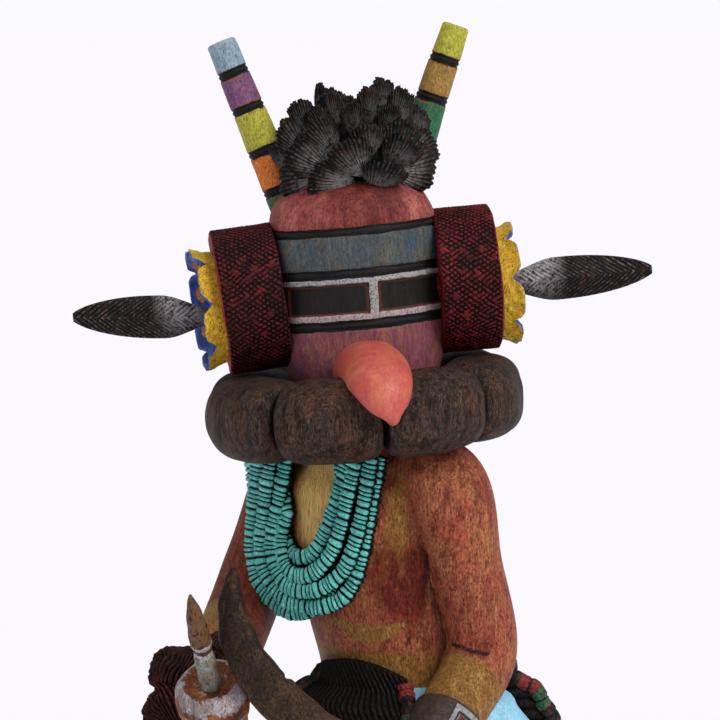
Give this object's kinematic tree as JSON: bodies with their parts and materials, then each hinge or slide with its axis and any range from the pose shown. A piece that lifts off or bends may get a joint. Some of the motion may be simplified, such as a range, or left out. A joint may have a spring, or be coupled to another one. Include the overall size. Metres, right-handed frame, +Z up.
{
  "type": "kachina doll",
  "caption": "Carved and painted wooden dancer figure with a beaked barrel mask, drum ears, banded horns, feather crest and thick ruff, holding a rattle and a curved stick, on a round slab.",
  "frame": {"origin": "centre of the slab's flat underside", "axes": "+Z up, the slab's front edge and the doll's front towards -Y, the doll's own right towards -X"},
  "size_m": [0.1559, 0.1068, 0.3297],
  "materials": {
    "slab": "oiled",
    "figure": "matt paint",
    "horns": "matt paint",
    "ear_rolls": "matt paint",
    "blossoms": "matt paint",
    "feathers": "matt paint",
    "beak": "satin paint",
    "gourd": "matt paint",
    "handle": "matt paint",
    "stick": "stained"
  },
  "bodies": {
    "root": {"slab": "slab", "figure": "figure", "feather_crest": "feathers", "beak": "beak", "curved_stick": "stick", "rattle_gourd": "gourd", "rattle_handle": "handle", "right_horn": "horns", "right_ear_roll": "ear_rolls", "right_blossom": "blossoms", "right_ear_feather": "feathers", "left_horn": "horns", "left_ear_roll": "ear_rolls", "left_blossom": "blossoms", "left_ear_feather": "feathers"}
  },
  "joints": []
}
